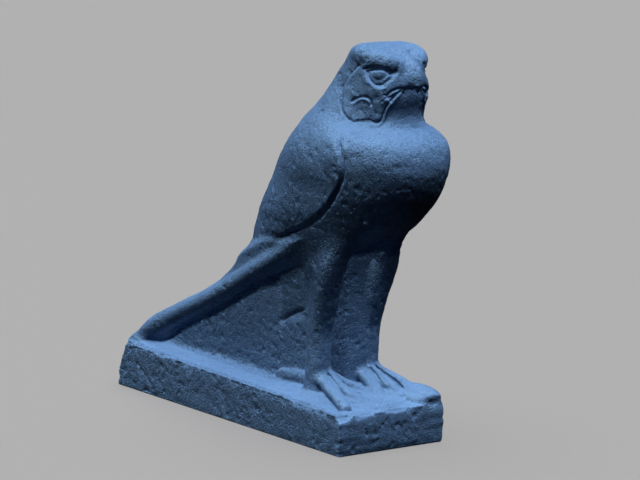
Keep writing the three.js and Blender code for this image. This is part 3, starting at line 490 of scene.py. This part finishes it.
def head(f, x, y, z):
    """The carving of the head, worked out only where the stone's skin is near."""
    ax = np.abs(x)
    cheek = tube(ax, y, z, CHEEK, [9, 10, 10])
    brow = tube(ax, y, z, BROW, [share * BROW_RADIUS for share in (0.35, 0.75, 0.94, 1, 1, 0.88)])
    bill = np.sqrt(x * x + RIDGE_RADIUS ** 2) - RIDGE_RADIUS + BEAK_SLOPE * beak_profile(y, z)
    bill = bill / math.hypot(1, BEAK_SLOPE)
    nearest = np.minimum(np.minimum(f, cheek), np.minimum(brow, bill))
    near = np.abs(nearest) < 9
    x, y, z = (np.broadcast_to(v, near.shape)[near] for v in (x, y, z))
    f, cheek, brow, bill, ax = (np.broadcast_to(v, near.shape)[near] for v in (f, cheek, brow, bill, ax))
    dx, dy = ax - EYE[0], y - EYE[1]
    across = -dx * math.cos(FACE_TURN) - dy * math.sin(FACE_TURN)
    depth = -dx * math.sin(FACE_TURN) + dy * math.cos(FACE_TURN)
    up = depth * math.sin(FACE_TILT) + (z - EYE[2]) * math.cos(FACE_TILT)
    out = smooth_min(f, cheek, 12)
    out = out - MASK_RELIEF * step(1, -1, mask_map.at(across, up))
    out = smooth_min(out, brow, 9)
    out = out + SOCKET_DEPTH * step(0.8, -3, socket_map.at(across, up))
    beak = smooth_max(bill, beak_map.at(across, up), 2)
    out = smooth_min(out, beak, 6)
    throat = step(0.8, -2, throat_map.at(across, up)) * step(370, 386, z)
    out = out + THROAT_STEP * throat * step(-3, 1, beak)
    eye = smooth_max(ball(ax, y, z, EYE_BALL, (10.5, 10.5, 10.5)), eye_map.at(across, up), 1)
    out = smooth_min(out, eye, 0.6)
    out = out + line_map.at(across, up)
    nearest[near] = out
    return nearest


def plinth(x, y, z):
    """The plinth with its sloping back end, less its chips."""
    half = PLINTH_LENGTH / 2
    box = np.maximum(np.abs(x) - PLINTH_WIDTH / 2, -half - y)
    box = smooth_max(box, z - top_at(y), 1.5)
    box = np.maximum(box, np.maximum(y - half, (y - half + BACK_SLOPE * (z - BACK_SLOPE_START)) * 0.95))
    for (cx, cy, cz), size, turn in CHIPS:
        dx, dy = x - cx, y - cy
        u = dx * math.cos(turn) + dy * math.sin(turn)
        v = -dx * math.sin(turn) + dy * math.cos(turn)
        box = smooth_max(box, -ball(u, v, z - cz, (0, 0, 0), size), 1)
    return box


def figure(x, y, z, side):
    f = wings(trunk(x, y, z), x, y, z, side)
    f = tail(f, x, y, z, side)
    f = web(f, x, y, z, side)
    f = smooth_max(f, tail_end(y, z), 4)
    return legs(f, x, y, z, side)


def block(x, ys, zs, side):
    """The field over a slab of grid planes."""
    y, z = ys[None, :, None], zs[None, None, :]
    out = np.empty((x.shape[0], len(ys), len(zs)), np.float32)
    body = zs < 262
    cut = {name: values[:, body] for name, values in side.items()}
    out[:, :, body] = figure(x, y, z[:, :, body], cut)
    rest = {name: values[:, ~body] for name, values in side.items()}
    upper = z[:, :, ~body]
    out[:, :, ~body] = wings(trunk(x, y, upper), x, y, upper, rest)
    crown = zs > 364
    out[:, :, crown] = head(out[:, :, crown].astype(float), x, y, z[:, :, crown])
    low = zs < 92
    ground = z[:, :, low]
    base = smooth_min(out[:, :, low], feet(x, y, ground), 5)
    base = np.maximum(base, top_at(y) - ROOT_DEPTH - ground)
    fillet = 3 + 5 * step(-70, -30, y) + 9 * step(120, 175, y)
    base = smooth_min(base, plinth(x, y, ground), fillet)
    out[:, :, low] = np.maximum(base, -ground)
    return out


def grid_lines(lo, hi, coarse, bands):
    """Grid lines from lo to hi; each band is (from, to, pitch)."""
    lines = [lo]
    while lines[-1] < hi:
        pitch = [p for a, b, p in bands if a <= lines[-1] < b]
        lines.append(lines[-1] + (pitch[0] if pitch else coarse))
    return np.array(lines)


def sample():
    scale = 1.0
    xs = grid_lines(-81.7, 81, 1.7 * scale, [(-46, 46, 0.95 * scale)])
    ys = grid_lines(-243, 203, 1.7 * scale, [(-220, -128, 0.95 * scale)])
    zs = grid_lines(-1.9, 463, 1.7 * scale, [(44, 76, 1.1 * scale), (372, 463, 0.95 * scale)])
    y, z = ys[:, None], zs[None, :]
    side = {
        "wing": region(curve(WING_FRONT + WING_REST, 4, True), y, z),
        "wing_front": line_distance(curve(WING_FRONT, 4), y, z),
        "tail": region(curve(TAIL, 4, True), y, z),
        "web": region(np.array(WEB, float), y, z),
        "thigh": region(curve(THIGH, 4, True), y, z),
    }
    slabs = [block(part[:, None, None], ys, zs, side) for part in np.array_split(xs, 24)]
    return xs, ys, zs, np.concatenate(slabs)


def close_diagonals(values):
    """Fill grid cells whose corners only touch across a diagonal, so the skin stays clean."""
    for _ in range(12):
        changed = 0
        for p, q in ((0, 1), (1, 2), (0, 2)):
            def part(i, j):
                cut = [slice(None)] * 3
                cut[p] = slice(i, values.shape[p] - 1 + i)
                cut[q] = slice(j, values.shape[q] - 1 + j)
                return values[tuple(cut)]
            a, b, c, d = part(0, 0) < 0, part(1, 0) < 0, part(0, 1) < 0, part(1, 1) < 0
            bad = (a == d) & (b == c) & (a != b)
            changed += int(bad.sum())
            part(1, 0)[bad & a] = -0.05
            part(0, 0)[bad & ~a] = -0.05
        if changed == 0:
            return


def skin(axes, values):
    """One vertex per crossed cell, one quad per crossed grid edge."""
    inside = values < 0
    shape = [n - 1 for n in values.shape]
    count = np.zeros(shape, np.uint8)
    for n in range(8):
        i, j, k = n & 1, n >> 1 & 1, n >> 2
        count += inside[i:shape[0] + i, j:shape[1] + j, k:shape[2] + k]
    cells = np.argwhere((count > 0) & (count < 8)).T
    ids = np.full(shape, -1, np.int32)
    ids[tuple(cells)] = np.arange(cells.shape[1])
    total = np.zeros((cells.shape[1], 3))
    crossings = np.zeros(cells.shape[1])
    for d in range(3):
        p, q = (d + 1) % 3, (d + 2) % 3
        for n in range(4):
            low = cells.copy()
            low[p] += n & 1
            low[q] += n >> 1
            high = low.copy()
            high[d] += 1
            f0, f1 = values[tuple(low)], values[tuple(high)]
            hit = (f0 < 0) != (f1 < 0)
            t = f0[hit] / (f0[hit] - f1[hit])
            place = np.stack([axes[i][low[i][hit]] for i in range(3)], 1)
            place[:, d] += t * (axes[d][high[d][hit]] - axes[d][low[d][hit]])
            total[hit] += place
            crossings[hit] += 1
    quads = []
    for d in range(3):
        p, q = (d + 1) % 3, (d + 2) % 3
        first = [slice(1, -1)] * 3
        second = [slice(1, -1)] * 3
        first[d], second[d] = slice(0, -1), slice(1, None)
        starts = inside[tuple(first)]
        edges = np.argwhere(starts != inside[tuple(second)])
        edges += [0 if i == d else 1 for i in range(3)]
        ring = []
        for back_p, back_q in ((1, 1), (0, 1), (0, 0), (1, 0)):
            cell = edges.copy()
            cell[:, p] -= back_p
            cell[:, q] -= back_q
            ring.append(ids[tuple(cell.T)])
        ring = np.stack(ring, 1)
        flip = ~inside[tuple(edges.T)]
        ring[flip] = ring[flip][:, ::-1]
        quads.append(ring)
    return total / crossings[:, None], np.concatenate(quads)


def vertex_normals(points, quads):
    a, b, c, d = (points[quads[:, i]] for i in range(4))
    face = np.cross(c - a, d - b)
    out = np.zeros_like(points)
    for i in range(4):
        for axis in range(3):
            out[:, axis] += np.bincount(quads[:, i], face[:, axis], len(points))
    return out / np.maximum(np.linalg.norm(out, axis=1), 1e-9)[:, None]


LATTICE = 64
lattice = np.random.default_rng(7).random((LATTICE, LATTICE, LATTICE)).astype(np.float32)


def noise(points, size, seed=0):
    """Smooth value noise from -1 to 1 with features of the given size."""
    p = points / size + 11.3 * seed
    base = np.floor(p).astype(int)
    t = p - base
    t = t * t * (3 - 2 * t)
    total = 0
    for n in range(8):
        corner = np.array([n & 1, n >> 1 & 1, n >> 2])
        i, j, k = ((base + corner) % LATTICE).T
        share = np.prod(np.where(corner, t, 1 - t), axis=1)
        total = total + lattice[i, j, k] * share
    return 2 * total - 1


def pits(points, size, seed, chance):
    """Round pits scattered one to a lattice cell: 1 in the middle of a pit, 0 outside."""
    p = points / size + 5.7 * seed
    base = np.floor(p).astype(int)
    best = np.zeros(len(points))
    for n in range(27):
        cell = base + np.array([n % 3 - 1, n // 3 % 3 - 1, n // 9 - 1])
        i, j, k = (cell % LATTICE).T
        centre = np.stack([lattice[i, j, k], lattice[j, k, i], lattice[k, i, j]], 1)
        pick = lattice[(i + 17) % LATTICE, (j + 31) % LATTICE, k]
        reach = 0.22 + 0.5 * lattice[i, (j + 9) % LATTICE, (k + 23) % LATTICE]
        d = np.linalg.norm(p - cell - centre, axis=1) / reach
        best = np.maximum(best, np.where(pick < chance, step(1, 0.25, d), 0))
    return best


def edge_wear(points):
    """How far the long edges of the plinth are worn back: wavy, with small chips."""
    x, y, z = points.T
    to_side = PLINTH_WIDTH / 2 - np.abs(x)
    to_front = y + PLINTH_LENGTH / 2
    to_top = top_at(y) - z
    ripple = 0.5 + 0.5 * noise(points, 13, 9)
    chip = step(0.1, 0.75, noise(points, 24, 10) + 0.35 * noise(points, 7, 11))
    top_edge = np.exp(-(np.hypot(np.minimum(to_side, to_front), to_top) / 5.5) ** 2)
    corner = np.exp(-(np.hypot(to_side, to_front) / 4.5) ** 2) * (z < 60)
    foot_edge = np.exp(-(np.hypot(np.minimum(to_side, to_front), z) / 3.0) ** 2) * (z > 1.2)
    return (top_edge * (0.7 + 2.2 * ripple ** 2 + 3.2 * chip)
            + corner * (0.5 + 1.2 * ripple + 1.2 * chip) + foot_edge * (0.3 + 1.0 * ripple))


def beside(points, path, width):
    """A soft band along a path: 1 on it, fading to 0 a little farther out than the width."""
    out = np.zeros(len(points))
    for start, end in zip(path[:-1], path[1:]):
        start, along = np.array(start), np.array(end) - np.array(start)
        share = np.clip((points - start) @ along / (along @ along), 0, 1)
        gap = np.linalg.norm(points - start - share[:, None] * along, axis=1)
        out = np.maximum(out, np.exp(-(gap / width) ** 2))
    return out


def web_step(points):
    """The near side of the web is cut back a little behind the leg, above a slanting ledge."""
    x, y, z = points.T
    corner_y, corner_z = WEB_STEP_CORNER
    edge = corner_y + 0.136 * (z - corner_z)
    ledge = corner_z - 0.45 * (y - corner_y)
    return (step(edge + 1.5, edge - 1.5, y) * step(ledge - 1.5, ledge + 1.5, z)
            * step(-104, -92, y) * step(44, 38, -x) * step(2, -2, x) * step(215, 195, z))


def roughness_of(points, normals):
    """How rough the stone is at each place: the tooled grounds are rough, the bird is smoother."""
    x, y, z = points.T
    up = np.clip(normals[:, 2], 0, 1)
    rough = np.full(len(points), BIRD_ROUGHNESS)
    rough = np.where((z < 62) & (np.abs(x) > 70), SIDE_ROUGHNESS, rough)
    rough = np.where((z < 52) & (y < -190), FRONT_ROUGHNESS, rough)
    inner = step(44, 38, np.abs(x)) * step(222, 205, z) * step(-114, -106, y)
    legs = step(-95, -100, y) * step(16, 22, np.abs(x)) * step(56, 64, z)
    rough = np.maximum(rough, WEB_ROUGHNESS * inner * (1 - 0.6 * legs))
    ground = step(76, 60, z) * up
    rough = np.maximum(rough, GROUND_ROUGHNESS * ground * step(-60, -100, y))
    rough = rough - 0.25 * step(90, 60, z) * step(0.4, 0.8, up)
    return np.where(z > 372, BIRD_ROUGHNESS, rough)


def painted_shade_of(points, normals):
    """Painted shade: how much the stone's colour is darkened, most on undersides, under the belly and in
    the cuts of the web.
    """
    x, y, z = points.T
    # painted shade on surfaces that face down
    underside = step(0.1, -0.6, normals[:, 2])
    # painted shade under the belly, on the thighs and the lower wings
    shade_under_belly = step(262, 246, z) * step(120, 200, z) * step(-45, -80, y) * step(72, 66, np.abs(x))
    painted_shade = np.maximum(underside, 0.85 * shade_under_belly)
    # painted shade in the step cut back in the web and in the gouge
    painted_shade = np.maximum(painted_shade, 0.4 * web_step(points))
    return np.maximum(painted_shade, 0.9 * beside(points, WEB_GOUGE, GOUGE_WIDTH))


def wear(points, normals):
    """How far the worn skin lies out from the carved form, in millimetres."""
    x, y, z = points.T
    rough = roughness_of(points, normals)
    body = step(372, 360, z)
    broad = noise(points, 42, 1) * 0.9 + noise(points, 19, 2) * 0.5
    grain = noise(points, 7.5, 3) * 0.55 + noise(points, 4.3, 4) * 0.6
    out = 0.45 * broad * body + 0.12 * broad + grain * rough
    out -= 1.5 * pits(points, 9, 5, 0.28) * np.clip(rough * 1.3, 0.35, 1)
    out -= 1.2 * pits(points, 5.2, 6, 0.32) * np.clip(rough * 1.3, 0.35, 1)
    out -= 1.2 * pits(points, 16, 7, 0.16) * step(0.3, 0.7, rough)
    stripes = noise(points * (0.25, 1, 2.2), 11, 12)
    out += 0.55 * stripes * ((y < -190) & (z < 52))
    rings = noise(points * (0.35, 1, 1), 6, 13)
    out += 0.35 * rings * step(430, 446, z) * step(0.6, 0.9, normals[:, 2])
    ragged = step(72, 58, z) * step(0.3, 0.8, normals[:, 2]) * (np.abs(x) < 77)
    out += 0.6 * ragged * noise(points, 9, 8)
    out -= edge_wear(points) + WEB_STEP_DEPTH * web_step(points)
    for scratch in (SIDE_SCRATCH, WING_SCRATCH):
        out -= SCRATCH_DEPTH * beside(points, scratch, SCRATCH_WIDTH)
    out -= GOUGE_DEPTH * beside(points, WEB_GOUGE, GOUGE_WIDTH)
    return out * (z > 0.5)


def make_block():
    xs, ys, zs, values = sample()
    close_diagonals(values)
    points, quads = skin((xs, ys, zs), values)
    normals = vertex_normals(points, quads)
    out = wear(points, normals)
    points = points + normals * out[:, None]
    lo, hi = (np.array(corner) / MM for corner in cad_box)
    points = np.clip(points, lo, hi)
    mesh = bpy.data.meshes.new("falcon_stone")
    mesh.vertices.add(len(points))
    mesh.vertices.foreach_set("co", (points * MM).astype(np.float32).ravel())
    mesh.loops.add(quads.size)
    mesh.loops.foreach_set("vertex_index", quads.astype(np.int32).ravel())
    mesh.polygons.add(len(quads))
    mesh.polygons.foreach_set("loop_start", np.arange(0, quads.size, 4, dtype=np.int32))
    mesh.update(calc_edges=True)
    mesh.validate()
    obj = bpy.data.objects.new("falcon_stone", mesh)
    bpy.context.scene.collection.objects.link(obj)
    thin = obj.modifiers.new("thin", "DECIMATE")
    thin.ratio = min(1.0, 190000 / (2 * len(quads)))
    bpy.context.view_layer.objects.active = obj
    with bpy.context.temp_override(object=obj, active_object=obj, selected_objects=[obj]):
        bpy.ops.object.modifier_apply(modifier=thin.name)
    for polygon in obj.data.polygons:
        polygon.use_smooth = True
    place = np.empty(3 * len(obj.data.vertices))
    obj.data.vertices.foreach_get("co", place)
    facing = np.empty_like(place)
    obj.data.vertices.foreach_get("normal", facing)
    place, facing = place.reshape(-1, 3) / MM, facing.reshape(-1, 3)
    # the painted shade is stored on the mesh, beside the roughness, to darken the base colour
    rough, painted_shade = roughness_of(place, facing), painted_shade_of(place, facing)
    for name, values in (("rough", rough), ("painted_shade", painted_shade)):
        share = obj.data.attributes.new(name, "FLOAT", "POINT")
        share.data.foreach_set("value", values.astype(np.float32))
    print("triangles", len(obj.data.polygons), "from", 2 * len(quads))
    return obj


def stone_material():
    mat = bpy.data.materials.new("stone")
    mat.use_nodes = True
    nodes, links = mat.node_tree.nodes, mat.node_tree.links
    shader = nodes["Principled BSDF"]
    place = nodes.new("ShaderNodeTexCoord")

    def cloud(scale, detail, roughness=0.55):
        node = nodes.new("ShaderNodeTexNoise")
        node.inputs["Scale"].default_value = scale
        node.inputs["Detail"].default_value = detail
        node.inputs["Roughness"].default_value = roughness
        links.new(place.outputs["Object"], node.inputs["Vector"])
        return node.outputs["Fac"]

    def ramp(source, stops):
        node = nodes.new("ShaderNodeValToRGB")
        links.new(source, node.inputs["Fac"])
        ends = node.color_ramp.elements
        for i, (at, colour) in enumerate(stops):
            spot = ends[i] if i < 2 else ends.new(at)
            spot.position = at
            spot.color = (*colour, 1)
        return node.outputs["Color"]

    def mix(kind, share, a, b):
        node = nodes.new("ShaderNodeMix")
        node.data_type = "RGBA"
        node.blend_type = kind
        if isinstance(share, float):
            node.inputs["Factor"].default_value = share
        else:
            links.new(share, node.inputs["Factor"])
        links.new(a, node.inputs["A"])
        links.new(b, node.inputs["B"])
        return node.outputs["Result"]

    broad = ramp(cloud(14, 4), [(0.3, (0.050, 0.100, 0.195)), (0.7, (0.066, 0.130, 0.245))])
    specked = ramp(cloud(420, 3), [(0.3, (0.62, 0.66, 0.72)), (0.62, (1.0, 1.0, 1.0))])
    shader.inputs["Specular Tint"].default_value = (0.30, 0.62, 1.0, 1)
    shader.inputs["Specular IOR Level"].default_value = 0.5

    def on_mesh(name):
        node = nodes.new("ShaderNodeAttribute")
        node.attribute_name = name
        return node.outputs["Fac"]

    def span(source, low, high, start=0.0, end=1.0):
        node = nodes.new("ShaderNodeMapRange")
        links.new(source, node.inputs["Value"])
        for name, value in (("From Min", start), ("From Max", end), ("To Min", low), ("To Max", high)):
            node.inputs[name].default_value = value
        return node.outputs["Result"]

    rough = on_mesh("rough")
    # painted shade: the base colour is darkened towards dark blue-grey on undersides, under the belly
    # and in the web's cuts
    painted_shade_colour = ramp(on_mesh("painted_shade"), [(0.0, (1.0, 1.0, 1.0)), (1.0, (0.24, 0.24, 0.3))])
    stone = mix("MULTIPLY", 0.55, broad, specked)
    tooling = ramp(cloud(560, 2), [(0.36, (0.3, 0.32, 0.38)), (0.5, (1.0, 1.0, 1.0))])
    stone = mix("MULTIPLY", rough, stone, tooling)
    links.new(mix("MULTIPLY", 1.0, stone, painted_shade_colour), shader.inputs["Base Color"])
    mottle = nodes.new("ShaderNodeMath")
    mottle.operation = "ADD"
    links.new(span(rough, 0.20, 0.44), mottle.inputs[0])
    links.new(span(cloud(90, 4), 0.04, 0.14), mottle.inputs[1])
    links.new(mottle.outputs["Value"], shader.inputs["Roughness"])

    def bump(source, low, high, distance, under=None):
        """Relief of a height source, stronger where the stone is rougher."""
        node = nodes.new("ShaderNodeBump")
        node.inputs["Distance"].default_value = distance
        links.new(span(rough, low, high), node.inputs["Strength"])
        links.new(source, node.inputs["Height"])
        if under:
            links.new(under, node.inputs["Normal"])
        return node.outputs["Normal"]

    specks = span(cloud(310, 2, 0.5), 0.0, 1.0, 0.24, 0.40)
    fine = bump(cloud(800, 3, 0.65), 0.15, 0.9, 0.0018)
    pitted = bump(specks, 0.6, 0.9, 0.0011, fine)
    coarse = bump(cloud(440, 3, 0.6), 0.02, 0.9, 0.0036, pitted)
    links.new(coarse, shader.inputs["Normal"])
    return mat


def floor_material():
    mat = bpy.data.materials.new("floor")
    mat.use_nodes = True
    shader = mat.node_tree.nodes["Principled BSDF"]
    shader.inputs["Base Color"].default_value = FLOOR_COLOUR
    shader.inputs["Roughness"].default_value = 0.9
    return mat


def make_camera():
    """The photograph's view: turned 41 degrees, 11.6 degrees up, rolled 3 degrees."""
    turn, lift, roll = math.radians(41), math.radians(11.6), math.radians(3)
    right = Vector((math.cos(turn), -math.sin(turn), 0))
    back = Vector((-math.sin(turn) * math.cos(lift), -math.cos(turn) * math.cos(lift), math.sin(lift)))
    up = back.cross(right)
    right, up = (right * math.cos(roll) + up * math.sin(roll),
                 up * math.cos(roll) - right * math.sin(roll))
    aim = Vector((0, 0, 0.200)) + 0.0385 * right + 0.0044 * up
    data = bpy.data.cameras.new("camera")
    data.lens = 293
    data.sensor_width = 36
    data.clip_end = 100
    camera = bpy.data.objects.new("camera", data)
    turned = Matrix((right, up, back)).transposed().to_4x4()
    camera.matrix_world = Matrix.Translation(aim + 6 * back) @ turned
    bpy.context.scene.collection.objects.link(camera)
    bpy.context.scene.camera = camera


def make_light(name, kind, energy, aim_from, **settings):
    data = bpy.data.lights.new(name, kind)
    data.energy = energy
    for key, value in settings.items():
        setattr(data, key, value)
    light = bpy.data.objects.new(name, data)
    light.location = aim_from
    light.rotation_mode = "QUATERNION"
    light.rotation_quaternion = Vector(aim_from).to_track_quat("Z", "Y")
    light.visible_glossy = name == "side"
    light.visible_diffuse = name != "side"
    bpy.context.scene.collection.objects.link(light)


def make_stage():
    mesh = bpy.data.meshes.new("floor")
    reach = 15
    mesh.from_pydata([(-reach, -reach, 0), (reach, -reach, 0), (reach, reach, 0), (-reach, reach, 0)],
                     [], [(0, 1, 2, 3)])
    floor = bpy.data.objects.new("floor", mesh)
    floor.data.materials.append(floor_material())
    bpy.context.scene.collection.objects.link(floor)
    floor.visible_diffuse = floor.visible_glossy = False
    top, side = (0.0, 0.0, 1), (-0.695, 0.324, 0.63)
    make_light("overhead", "SUN", OVERHEAD_SUN, top, angle=math.radians(70))
    make_light("overhead fill", "SUN", OVERHEAD_FILL, top, angle=math.radians(70), use_shadow=False)
    make_light("side", "SUN", SIDE_SUN, side, angle=math.radians(10), use_shadow=False)
    world = bpy.data.worlds.new("world")
    bpy.context.scene.world = world
    world.use_nodes = True
    world.node_tree.nodes["Background"].inputs["Color"].default_value = (0.9, 0.95, 1, 1)
    world.node_tree.nodes["Background"].inputs["Strength"].default_value = 0.01
    bpy.context.scene.view_settings.view_transform = "Standard"


make_camera()
make_stage()
falcon = make_block()
falcon.data.materials.append(stone_material())
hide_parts("falcon_on_plinth")
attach(falcon, "root")
